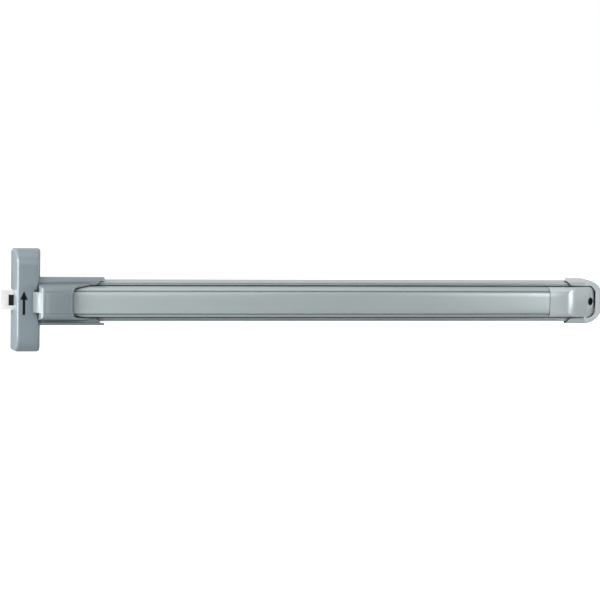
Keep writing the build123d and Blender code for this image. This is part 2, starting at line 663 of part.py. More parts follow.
def make_bar_end_block():
    """Cast rib inside the bar's end that takes the end piece's screw."""
    half = 9.0
    near, far = RECESS_DEPTH + GAP, RECESS_DEPTH + 7
    c = math.cos(SLOPE_ANGLE)
    top = BAR_INNER - 0.7
    upper_x = slope_point(0, near)[0] - (top - slope_point(0, near)[1]) / math.tan(SLOPE_ANGLE)
    lower = slope_point(0, far)
    end_t = RECESS_T + 4.0
    rib = polygon([
        (BAR_END - 24, top), (upper_x, top), slope_point(end_t, near),
        slope_point(end_t, far), lower, (BAR_END - 24, lower[1]),
    ])
    body = plan(rib, half)
    return body - slope_axis(RECESS_T, 2.1, near - 1, far + 1 + c)


def make_bar_end_screw():
    """Socket screw at the bottom of the end piece's recess."""
    floor = RECESS_DEPTH - 2
    head = slope_axis(RECESS_T, 4.3, floor - 3.4, floor)
    shank = slope_axis(RECESS_T, 2.1, floor, RECESS_DEPTH + 7)
    x, p = slope_point(RECESS_T, floor - 3.4)
    socket_plane = Plane(
        origin=(x, -p, 0), x_dir=(0, 0, 1),
        z_dir=(math.sin(SLOPE_ANGLE), -math.cos(SLOPE_ANGLE), 0))
    socket = extrude(socket_plane * RegularPolygon(2.1, 6), amount=-2)
    return head + shank - socket


def make_bar_start_plug():
    """Plug in the bar's hidden end, under the cowl."""
    fit = [(z - 0.15, p - 0.15) for z, p in bar_inner()]
    return along(mirrored(fit), BAR_START + 1, BAR_START + 7)


def make_bar_lug(crank_x):
    """Clevis under the bar's face that holds one crank's upper pin."""
    pin_x = crank_x - BAR_ARM * math.cos(CRANK_SWING)
    pin_p = CRANK_DEPTH + BAR_TRAVEL / 2
    top = BAR_INNER - 0.9
    lug = block(pin_x - 14, pin_x + 8, top - 2, top, -12, 12)
    for sign in (1, -1):
        z0, z1 = sorted((sign * 3.0, sign * 5.5))
        lug += block(pin_x - 7, pin_x + 5, pin_p, top - 1, z0, z1)
        lug += upright(pin_x, pin_p, 5.2, z0, z1)
    swing = BAR_ARM * (1 - math.cos(CRANK_SWING)) + FIT
    slot = block(pin_x - swing, pin_x, pin_p - LINK_PIN_RADIUS - FIT,
                 pin_p + LINK_PIN_RADIUS + FIT, -9, 9)
    for x in (pin_x - swing, pin_x):
        slot += upright(x, pin_p, LINK_PIN_RADIUS + FIT, -9, 9)
    return lug - slot


# ---- cranks and their brackets --------------------------------------------
def crank_bracket(crank_x):
    """U bracket on the rail's floor that carries one crank's pivot."""
    bracket = block(crank_x - 16, crank_x + 16, RAIL_FLOOR, RAIL_FLOOR + 2, -24, 24)
    for sign in (1, -1):
        z0, z1 = sorted((sign * 8.0, sign * 10.5))
        bracket += block(crank_x - 8, crank_x + 8, RAIL_FLOOR, CRANK_DEPTH, z0, z1)
        bracket += upright(crank_x, CRANK_DEPTH, 6.0, z0, z1)
        for x in (crank_x - 11, crank_x + 11):
            bracket -= outward(x, sign * 18, 2.0, 0, 9)
    return bracket - upright(crank_x, CRANK_DEPTH, PIN_RADIUS, -12, 12)


def crank_rivets(crank_x):
    """Rivets through one crank bracket's feet."""
    rivets = []
    for x in (crank_x - 11, crank_x + 11):
        for z in (-18, 18):
            shank = outward(x, z, 2.0, RAIL_FLOOR, RAIL_FLOOR + 2)
            rivets.append(shank + outward(x, z, 3.5, RAIL_FLOOR + 2, RAIL_FLOOR + 3.4))
    return rivets


def make_crank(crank_x):
    """Bell crank: one arm to the bar's lug, a forked arm to the pull rod."""
    pin_x = crank_x - BAR_ARM * math.cos(CRANK_SWING)
    pin_p = CRANK_DEPTH + BAR_TRAVEL / 2
    rod_x = crank_x - ROD_ARM * math.sin(CRANK_SWING)
    rod_p = CRANK_DEPTH - ROD_ARM * math.cos(CRANK_SWING)
    hub = upright(crank_x, CRANK_DEPTH, 7.0, -7.0, 7.0)
    crank = hub + arm(crank_x, CRANK_DEPTH, pin_x, pin_p, 4.6, -2.5, 2.5)
    for sign in (1, -1):
        z0, z1 = sorted((sign * (ROD_HALF + 0.5), sign * (ROD_HALF + 3)))
        crank += arm(crank_x, CRANK_DEPTH, rod_x, rod_p, 4.4, z0, z1)
    crank -= upright(crank_x, CRANK_DEPTH, PIN_RADIUS + 1.2, -9, 9)
    crank -= upright(pin_x, pin_p, LINK_PIN_RADIUS, -9, 9)
    return crank - upright(rod_x, rod_p, LINK_PIN_RADIUS, -9, 9)


def arm(x0, p0, x1, p1, radius, z0, z1):
    """Flat link between two points, rounded at both ends."""
    length = math.hypot(x1 - x0, p1 - p0)
    angle = math.degrees(math.atan2(-(p1 - p0), x1 - x0))
    bar = Pos((x0 + x1) / 2, -(p0 + p1) / 2, (z0 + z1) / 2) * Rot(0, 0, angle)
    bar = bar * Box(length, 2 * radius, z1 - z0)
    return bar + upright(x0, p0, radius, z0, z1) + upright(x1, p1, radius, z0, z1)


def crank_bush(crank_x):
    """Plain bearing pressed into one crank's hub."""
    outer = upright(crank_x, CRANK_DEPTH, PIN_RADIUS + 1.2, -7.5, 7.5)
    return outer - upright(crank_x, CRANK_DEPTH, PIN_RADIUS + FIT, -9, 9)


def crank_bar_pin(crank_x):
    """Link pin in the arm that the bar pushes."""
    x = crank_x - BAR_ARM * math.cos(CRANK_SWING)
    return upright(x, CRANK_DEPTH + BAR_TRAVEL / 2, LINK_PIN_RADIUS, -6.2, 6.2)


def crank_rod_pin(crank_x):
    """Link pin in the forked arm that pulls the rod."""
    x = crank_x - ROD_ARM * math.sin(CRANK_SWING)
    p = CRANK_DEPTH - ROD_ARM * math.cos(CRANK_SWING)
    return upright(x, p, LINK_PIN_RADIUS, -ROD_HALF - 3, ROD_HALF + 3)


# ---- pull rod and springs -------------------------------------------------


def rod_slot(x, p):
    """Slot in the rod, long enough for a pin's rise and fall on its arm."""
    low = p - ROD_SLOT_RISE
    radius = LINK_PIN_RADIUS + FIT
    slot = block(x - radius, x + radius, low, p, -9, 9)
    return slot + upright(x, low, radius, -9, 9) + upright(x, p, radius, -9, 9)


def make_pull_rod():
    """Flat rod from the latch's tail to the far crank."""
    far = CRANK_X[1] - ROD_ARM * math.sin(CRANK_SWING) + ROD_WIDTH / 2
    near = TAIL_X + ROD_WIDTH
    rod = block(near, far - ROD_WIDTH / 2, ROD_BACK, ROD_FRONT, -ROD_HALF, ROD_HALF)
    rod += block(TAIL_X, near, ROD_DEPTH - ROD_EYE_RADIUS, ROD_DEPTH + ROD_EYE_RADIUS, -ROD_HALF, ROD_HALF)
    rod += upright(TAIL_X, ROD_DEPTH, ROD_EYE_RADIUS, -ROD_HALF, ROD_HALF)
    rod += upright(far - ROD_WIDTH / 2, ROD_DEPTH, ROD_WIDTH / 2, -ROD_HALF, ROD_HALF)
    rod -= rod_slot(TAIL_X, TAIL_DEPTH)
    for crank_x in CRANK_X:
        rod -= rod_slot(crank_x - ROD_ARM * math.sin(CRANK_SWING),
                        CRANK_DEPTH - ROD_ARM * math.cos(CRANK_SWING))
    for x in CARRIER_SCREW_X:
        rod -= upright(x, ROD_DEPTH, 1.6, -9, 9)
    return rod


def make_spring_carrier():
    """Block screwed to the rod that pushes on both return springs."""
    x0, x1 = CARRIER_X - 16, CARRIER_X
    carrier = block(x0, x1, ROD_BACK, ROD_FRONT + 5, ROD_HALF, ROD_HALF + 2.5)
    carrier += block(x0, x1, ROD_BACK, ROD_FRONT + 5, -ROD_HALF - 2.5, -ROD_HALF)
    carrier += block(x0, x1, ROD_FRONT, ROD_FRONT + 5, -ROD_HALF - 2.5, ROD_HALF + 2.5)
    carrier += block(CARRIER_X - 3, CARRIER_X, ROD_BACK + 2, ROD_FRONT + 5, ROD_HALF, SPRING_Z + 5.5)
    carrier += block(CARRIER_X - 3, CARRIER_X, ROD_BACK + 2, ROD_FRONT + 5, -SPRING_Z - 5.5, -ROD_HALF)
    for sign in (1, -1):
        carrier -= lengthwise(CARRIER_X - 5, CARRIER_X + 5, SPRING_P, sign * SPRING_Z, 3.0)
    for x in CARRIER_SCREW_X:
        carrier -= upright(x, ROD_DEPTH, 1.6, -9, 9)
    return carrier


def make_carrier_screws():
    """Two screws through the carrier and the rod."""
    screws = []
    for x in CARRIER_SCREW_X:
        shank = upright(x, ROD_DEPTH, 1.6, -ROD_HALF - 2.5, ROD_HALF + 2.5)
        screws.append(shank + upright(x, ROD_DEPTH, 2.8, ROD_HALF + 2.5, ROD_HALF + 4.1))
    return screws


def make_spring_bracket():
    """Angle bracket on the rail's floor that the return springs push against."""
    x0, x1 = BRACKET_X, BRACKET_X + 3
    half = SPRING_Z + 5.5
    bracket = block(x0, x0 + 26, RAIL_FLOOR, RAIL_FLOOR + 2, -half, half)
    bracket += block(x0, x1, RAIL_FLOOR, ROD_FRONT + 4.5, -half, half)
    bracket -= block(x0 - 1, x1 + 1, ROD_BACK - 1, ROD_FRONT + 8, -4, 4)
    for sign in (1, -1):
        bracket -= lengthwise(x0 - 1, x1 + 1, SPRING_P, sign * SPRING_Z, 2.5)
        bracket -= outward(x0 + 16, sign * 14, 2.0, 0, 9)
    return bracket


def make_spring_bracket_rivets():
    """Rivets through the spring bracket's foot."""
    rivets = []
    for z in (-14, 14):
        shank = outward(BRACKET_X + 16, z, 2.0, RAIL_FLOOR, RAIL_FLOOR + 2)
        rivets.append(shank + outward(BRACKET_X + 16, z, 3.5, RAIL_FLOOR + 2, RAIL_FLOOR + 3.4))
    return rivets


def make_spring_guide_pins():
    """Pins in the spring bracket that keep the springs straight."""
    pins = []
    for sign in (1, -1):
        pin = lengthwise(CARRIER_X - 3, BRACKET_X + 3, SPRING_P, sign * SPRING_Z, 2.5)
        head = lengthwise(BRACKET_X + 3, BRACKET_X + 4.5, SPRING_P, sign * SPRING_Z, 4.0)
        pins.append(pin + head)
    return pins


def coil(turns, length, radius, wire):
    """Helical coil along Z from 0, its wire centre on the given radius."""
    path = Helix(pitch=length / turns, height=length, radius=radius)
    return sweep(Plane(origin=path @ 0, z_dir=path % 0) * Circle(wire), path=path)


def make_return_springs():
    """Two compression springs between the rod's carrier and the bracket."""
    wire = SPRING_WIRE / 2
    length = SPRING_REST - 2 * wire - 0.1
    springs = []
    for sign in (1, -1):
        place = Pos(CARRIER_X + wire + 0.05, -SPRING_P, sign * SPRING_Z) * Rot(0, 90, 0)
        springs.append(place * coil(9, length, SPRING_RADIUS - wire, wire))
    return springs


def make_rod_guides():
    """Nylon guides on the rail's floor that the pull rod slides through."""
    guides = []
    for x in GUIDE_X:
        guide = block(x - 7, x + 7, RAIL_FLOOR, ROD_FRONT + 4, -9, 9)
        guide += block(x - 7, x + 7, RAIL_FLOOR, RAIL_FLOOR + 2.5, -17, 17)
        guide -= block(x - 8, x + 8, ROD_BACK - GAP, ROD_FRONT + GAP, -ROD_HALF - GAP, ROD_HALF + GAP)
        for z in (-13, 13):
            guide -= outward(x, z, 1.6, 0, 9)
        guides.append(guide)
    return guides


def make_guide_screws():
    """Screws through the feet of the rod guides."""
    screws = []
    for x in GUIDE_X:
        for z in (-13, 13):
            shank = outward(x, z, 1.6, RAIL_FLOOR, RAIL_FLOOR + 2.5)
            screws.append(shank + outward(x, z, 2.9, RAIL_FLOOR + 2.5, RAIL_FLOOR + 4))
    return screws


# ---- latch ----------------------------------------------------------------


def latch_front(x):
    """Depth of the latch's front slope at x."""
    return NOSE_FRONT + (x - NOSE_X) * (20.2 - NOSE_FRONT) / (-19.5 - NOSE_X)


def make_latch_bolt():
    """Swinging latch: bevelled nose, pivot barrel and a forked tail."""
    x, p = LATCH_PIVOT_X, LATCH_PIVOT_DEPTH
    nose = polygon([
        (-34.0, NOSE_BACK), (NOSE_X, NOSE_BACK + 2.2), (NOSE_X + 0.6, latch_front(NOSE_X + 0.6)),
        (-19.5, 20.2), (-15.4, 20.8), (-14.0, 29.0), (x - BARREL_RADIUS, p), (x, p - BARREL_RADIUS),
        (-6.2, 25.0), (-8.0, 19.0), (-13.5, NOSE_BACK),
    ])
    bolt = plan(nose, LATCH_HALF) + upright(x, p, BARREL_RADIUS, -LATCH_HALF, LATCH_HALF)
    bolt += arm(x, p, TAIL_X, TAIL_DEPTH, 5.0, -LATCH_HALF / 2, LATCH_HALF / 2)
    bolt -= upright(TAIL_X, TAIL_DEPTH, 7.2, -ROD_HALF - 1, ROD_HALF + 1)
    bolt -= block(TAIL_X, 12, TAIL_DEPTH - 7.2, TAIL_DEPTH + 7.2, -ROD_HALF - 1, ROD_HALF + 1)
    pocket = polygon([
        (WINDOW_X, latch_front(WINDOW_X) + 1), (WINDOW_X, latch_front(WINDOW_X) - 4.3),
        (-19.0, 15.9), (-13.0, 18.9), (TRIGGER_X, 20.9), (TRIGGER_X, 27.9), (-22.0, 27.9),
    ])
    pocket_solid = plan(pocket, WINDOW_HALF)
    pocket_solid += upright(TRIGGER_X, TRIGGER_DEPTH, 3.5, -WINDOW_HALF, WINDOW_HALF)
    bolt -= pocket_solid
    bolt -= upright(TRIGGER_X, TRIGGER_DEPTH, 1.5, -12, 12)
    recess = upright(x, p, 9, 9.0, 12.6) - upright(x, p, 4.2, 8, 13)
    bolt -= recess
    bolt -= upright(TAIL_X, TAIL_DEPTH, LINK_PIN_RADIUS + FIT, -9, 9)
    return bolt - upright(x, p, PIN_RADIUS + FIT, -20, 20)


def make_latch_trigger():
    """Black tongue in the latch's window, on its own small pin."""
    knuckle = upright(TRIGGER_X, TRIGGER_DEPTH, 3.1, -WINDOW_HALF + 0.4, WINDOW_HALF - 0.4)
    tip = WINDOW_X + 0.4
    face = polygon([
        (tip, latch_front(tip) - 0.5), (tip, latch_front(tip) - 2.3), (-19.4, 17.9),
        (-14.0, 19.3), (TRIGGER_X, TRIGGER_DEPTH - 3.1), (TRIGGER_X - 3.1, TRIGGER_DEPTH),
        (-15.2, 20.3), (-19.5, 19.7),
    ])
    trigger = knuckle + plan(face, WINDOW_HALF - 0.4)
    return trigger - upright(TRIGGER_X, TRIGGER_DEPTH, 1.5 + FIT, -12, 12)


def make_latch_spring():
    """Torsion spring around the latch's barrel."""
    ring = Pos(0, 0, 9.6) * coil(2, 2.4, 5.2, 0.45)
    return Pos(LATCH_PIVOT_X, -LATCH_PIVOT_DEPTH, 0) * ring


# ---- write the nodes ------------------------------------------------------
os.makedirs("parts", exist_ok=True)

save("case_cover", make_case_cover())
save("case_base", make_case_base())
save("case_cover_screws", make_case_cover_screws())
save("latch_bracket", make_latch_bracket())
save("latch_bracket_rivets", make_latch_rivets())
save("latch_pivot_pin", pivot_pin(
    LATCH_PIVOT_X, LATCH_PIVOT_DEPTH, LATCH_CLIP_Z + 1.8, groove_at=LATCH_CLIP_Z))
save("latch_pin_clips", pin_clips(LATCH_PIVOT_X, LATCH_PIVOT_DEPTH, LATCH_CLIP_Z))
save("joining_plate", make_joining_plate())
save("joiner_screws", make_joiner_screws())
save("rail", make_rail())
save("rail_far_bracket", make_far_bracket())
save("far_bracket_rivets", make_far_rivets())
save("end_cap", make_end_cap())
save("end_cap_screws", make_end_cap_screws())
save("cowl", make_cowl())
save("cowl_screws", make_cowl_screws())
save("push_bar", make_push_bar())
save("bar_end_piece", make_bar_end_piece())
save("bar_end_block", make_bar_end_block())
save("bar_end_screw", make_bar_end_screw())
save("bar_start_plug", make_bar_start_plug())
save("pull_rod", make_pull_rod())
save("rod_spring_carrier", make_spring_carrier())
save("carrier_screws", make_carrier_screws())
save("spring_bracket", make_spring_bracket())
save("spring_bracket_rivets", make_spring_bracket_rivets())
save("spring_guide_pins", make_spring_guide_pins())
save("return_springs", make_return_springs())
save("rod_guides", make_rod_guides())
save("guide_screws", make_guide_screws())
save("latch_bolt", make_latch_bolt())
save("latch_tail_pin", pivot_pin(TAIL_X, TAIL_DEPTH, LATCH_HALF / 2, LINK_PIN_RADIUS))
save("latch_spring", make_latch_spring())
save("latch_trigger", make_latch_trigger())
save("trigger_pin", pivot_pin(TRIGGER_X, TRIGGER_DEPTH, 12, 1.5))
for place, crank_x in zip(("front", "rear"), CRANK_X):
    save(f"{place}_crank_bracket", crank_bracket(crank_x))
    save(f"{place}_bracket_rivets", crank_rivets(crank_x))
    save(f"{place}_crank_pivot_pin", pivot_pin(crank_x, CRANK_DEPTH, 12.4, groove_at=10.6))
    save(f"{place}_pin_clips", pin_clips(crank_x, CRANK_DEPTH, 10.6))
    save(f"{place}_crank", make_crank(crank_x))
    save(f"{place}_crank_bush", crank_bush(crank_x))
    save(f"{place}_crank_bar_pin", crank_bar_pin(crank_x))
    save(f"{place}_crank_rod_pin", crank_rod_pin(crank_x))
    save(f"{place}_bar_lug", make_bar_lug(crank_x))
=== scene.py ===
"""Looks of the panic exit bar: satin paint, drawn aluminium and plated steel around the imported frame."""

import json
import logging
import math
from dataclasses import dataclass, field
from enum import Enum
from typing import Iterable, Sequence

import bmesh
import bpy
from mathutils import Matrix, Vector


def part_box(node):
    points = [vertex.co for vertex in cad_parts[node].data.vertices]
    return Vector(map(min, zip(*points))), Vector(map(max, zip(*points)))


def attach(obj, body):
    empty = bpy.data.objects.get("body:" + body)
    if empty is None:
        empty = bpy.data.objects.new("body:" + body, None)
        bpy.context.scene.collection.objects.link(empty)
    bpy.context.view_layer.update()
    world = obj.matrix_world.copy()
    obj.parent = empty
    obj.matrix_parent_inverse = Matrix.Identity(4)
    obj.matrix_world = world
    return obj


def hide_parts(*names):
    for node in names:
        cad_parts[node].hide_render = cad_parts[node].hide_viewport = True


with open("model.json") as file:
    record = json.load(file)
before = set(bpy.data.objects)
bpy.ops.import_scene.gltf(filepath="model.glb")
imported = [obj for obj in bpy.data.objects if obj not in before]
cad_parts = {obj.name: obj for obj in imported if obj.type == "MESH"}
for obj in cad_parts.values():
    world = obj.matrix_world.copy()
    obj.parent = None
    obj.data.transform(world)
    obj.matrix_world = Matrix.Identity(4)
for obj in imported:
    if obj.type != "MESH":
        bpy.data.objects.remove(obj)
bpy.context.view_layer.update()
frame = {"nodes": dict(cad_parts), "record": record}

LOG = logging.getLogger("exit_bar")


# ---------------------------------------------------------------- shader groups
class Socket(Enum):
    """The kinds of socket that a shader node group passes on."""

    VALUE = "NodeSocketFloat"
    COLOUR = "NodeSocketColor"
    VECTOR = "NodeSocketVector"


class NodeBuilder:
    """Adds nodes and links to one node tree with short calls."""

    def __init__(self, tree: bpy.types.NodeTree) -> None:
        """Keep the tree that is being filled."""
        self.tree = tree

    def add(self, kind: str, **settings: object) -> bpy.types.Node:
        """Add one node.

        Args:
            kind: Blender's node type name.
            settings: attributes of the node, such as an operation.

        Returns:
            The new node.
        """
        node = self.tree.nodes.new(kind)
        for name, value in settings.items():
            setattr(node, name, value)
        return node

    def link(self, source: bpy.types.NodeSocket, target: bpy.types.NodeSocket) -> None:
        """Join an output socket to an input socket."""
        self.tree.links.new(source, target)

    def maths(self, operation: str, first: object, second: object = None) -> bpy.types.NodeSocket:
        """Add a Math node.

        Args:
            operation: the node's operation.
            first: a socket or a number.
            second: a socket, a number or nothing.

        Returns:
            The node's output socket.
        """
        node = self.add("ShaderNodeMath", operation=operation)
        for slot, value in enumerate((first, second)):
            if isinstance(value, bpy.types.NodeSocket):
                self.link(value, node.inputs[slot])
            elif value is not None:
                node.inputs[slot].default_value = float(value)
        return node.outputs[0]

    def noise(self, vector: bpy.types.NodeSocket, scale: float, detail: float = 3.0) -> bpy.types.NodeSocket:
        """Add a Noise texture.

        Args:
            vector: the coordinates' socket.
            scale: the noise's scale.
            detail: octaves of finer noise.

        Returns:
            The value's socket.
        """
        node = self.add("ShaderNodeTexNoise")
        node.inputs["Scale"].default_value = scale
        node.inputs["Detail"].default_value = detail
        self.link(vector, node.inputs["Vector"])
        return node.outputs["Fac"]


def new_group(name: str, inputs: Sequence[tuple], outputs: Sequence[tuple]) -> tuple:
    """Make an empty shader node group with named sockets.

    Args:
        name: the group's name.
        inputs: name, kind and default value of each input.
        outputs: name and kind of each output.

    Returns:
        The group, a builder for it, its input node and its output node.
    """
    group = bpy.data.node_groups.new(name, "ShaderNodeTree")
    for label, kind, default in inputs:
        socket = group.interface.new_socket(name=label, in_out="INPUT", socket_type=kind.value)
        if default is not None:
            socket.default_value = default
    for label, kind in outputs:
        group.interface.new_socket(name=label, in_out="OUTPUT", socket_type=kind.value)
    build = NodeBuilder(group)
    return group, build, build.add("NodeGroupInput"), build.add("NodeGroupOutput")


def rubbed_and_highlit_edges_group() -> bpy.types.NodeTree:
    """Mask that is 1 on rounded-over edges, broken up by noise; it lightens them, partly as rubbed finish
    and partly as a painted edge highlight.
    """
    group, build, inside, outside = new_group(
        "rubbed_and_highlit_edges",
        [("Vector", Socket.VECTOR, None), ("Radius", Socket.VALUE, 0.0008), ("Amount", Socket.VALUE, 0.5)],
        [("Mask", Socket.VALUE)])
    bevel = build.add("ShaderNodeBevel", samples=4)
    build.link(inside.outputs["Radius"], bevel.inputs["Radius"])
    geometry = build.add("ShaderNodeNewGeometry")
    dot = build.add("ShaderNodeVectorMath", operation="DOT_PRODUCT")
    build.link(bevel.outputs["Normal"], dot.inputs[0])
    build.link(geometry.outputs["Normal"], dot.inputs[1])
    edge = build.maths("SUBTRACT", 1.0, dot.outputs["Value"])
    edge = build.maths("MULTIPLY", edge, 5.0)
    broken = build.noise(inside.outputs["Vector"], 240.0, 5.0)
    edge = build.maths("MULTIPLY", edge, broken)
    edge = build.maths("MULTIPLY", edge, inside.outputs["Amount"])
    edge = build.maths("MINIMUM", edge, 1.0)
    build.link(edge, outside.inputs["Mask"])
    return group


def orange_peel_group() -> bpy.types.NodeTree:
    """Sprayed paint's fine ripple, as a height and a small tone change."""
    group, build, inside, outside = new_group(
        "orange_peel",
        [("Vector", Socket.VECTOR, None)],
        [("Height", Socket.VALUE), ("Tone", Socket.VALUE)])
    ripple = build.noise(inside.outputs["Vector"], 900.0, 2.0)
    flake = build.noise(inside.outputs["Vector"], 5200.0, 1.0)
    height = build.maths("ADD", build.maths("MULTIPLY", ripple, 0.7), build.maths("MULTIPLY", flake, 0.3))
    cloud = build.noise(inside.outputs["Vector"], 14.0, 3.0)
    tone = build.maths("ADD", build.maths("MULTIPLY", cloud, 0.6), build.maths("MULTIPLY", flake, 0.4))
    build.link(height, outside.inputs["Height"])
    build.link(tone, outside.inputs["Tone"])
    return group


def drawn_lines_group() -> bpy.types.NodeTree:
    """Long fine lines along X that an extrusion die leaves."""
    group, build, inside, outside = new_group(
        "drawn_lines",
        [("Vector", Socket.VECTOR, None)],
        [("Height", Socket.VALUE), ("Tone", Socket.VALUE)])
    stretch = build.add("ShaderNodeMapping")
    stretch.inputs["Scale"].default_value = (1.2, 160.0, 160.0)
    build.link(inside.outputs["Vector"], stretch.inputs["Vector"])
    lines = build.noise(stretch.outputs["Vector"], 9.0, 4.0)
    broad = build.add("ShaderNodeMapping")
    broad.inputs["Scale"].default_value = (0.6, 26.0, 26.0)
    build.link(inside.outputs["Vector"], broad.inputs["Vector"])
    bands = build.noise(broad.outputs["Vector"], 3.0, 2.0)
    build.link(lines, outside.inputs["Height"])
    build.link(build.maths("ADD", build.maths("MULTIPLY", lines, 0.5), build.maths("MULTIPLY", bands, 0.5)),
               outside.inputs["Tone"])
    return group


def handling_group() -> bpy.types.NodeTree:
    """Faint smears from hands and cleaning, as a mask."""
    group, build, inside, outside = new_group(
        "handling",
        [("Vector", Socket.VECTOR, None)],
        [("Mask", Socket.VALUE)])
    stretch = build.add("ShaderNodeMapping")
    stretch.inputs["Scale"].default_value = (9.0, 30.0, 30.0)
    build.link(inside.outputs["Vector"], stretch.inputs["Vector"])
    smear = build.noise(stretch.outputs["Vector"], 1.6, 6.0)
    ramp = build.add("ShaderNodeMapRange")
    ramp.inputs["From Min"].default_value = 0.45
    ramp.inputs["From Max"].default_value = 0.75
    build.link(smear, ramp.inputs["Value"])
    build.link(ramp.outputs["Result"], outside.inputs["Mask"])
    return group


def painted_shade_group() -> bpy.types.NodeTree:
    """Mask of painted shade: 1 deep in slots and seams, where the colour is darkened to stand in for their
    shadow, varied a little by noise.
    """
    group, build, inside, outside = new_group(
        "painted_shade",
        [("Vector", Socket.VECTOR, None), ("Reach", Socket.VALUE, 0.009), ("Amount", Socket.VALUE, 0.9)],
        [("Mask", Socket.VALUE)])
    shade = build.add("ShaderNodeAmbientOcclusion", samples=8)
    build.link(inside.outputs["Reach"], shade.inputs["Distance"])
    ramp = build.add("ShaderNodeMapRange", interpolation_type="SMOOTHSTEP")
    for label, value in (("From Min", 0.72), ("From Max", 0.3), ("To Min", 0.0), ("To Max", 1.0)):
        ramp.inputs[label].default_value = value
    build.link(shade.outputs["AO"], ramp.inputs["Value"])
    # noise varies the painted shade a little from place to place
    patches = build.maths("MULTIPLY", build.noise(inside.outputs["Vector"], 60.0), 0.3)
    patchy = build.maths("ADD", 0.85, patches)
    mask = build.maths("MULTIPLY", ramp.outputs["Result"], patchy)
    mask = build.maths("MULTIPLY", mask, inside.outputs["Amount"])
    build.link(build.maths("MINIMUM", mask, 1.0), outside.inputs["Mask"])
    return group


class Groups:
    """The shared shader node groups, each built once."""

    def __init__(self) -> None:
        """Build every group."""
        self.rubbed_and_highlit_edges = rubbed_and_highlit_edges_group()
        self.orange_peel = orange_peel_group()
        self.drawn_lines = drawn_lines_group()
        self.handling = handling_group()
        self.painted_shade = painted_shade_group()


class Grain(Enum):
    """Which fine pattern a finish carries."""

    SPRAYED = "orange_peel"
    DRAWN = "drawn_lines"


BARE_AND_HIGHLIGHT = (0.62, 0.63, 0.64)           # lighter edge colour: bare metal where paint or anodising is rubbed, partly a painted edge highlight
SHADE = (0.012, 0.013, 0.014)       # colour of the painted shade in slots and seams


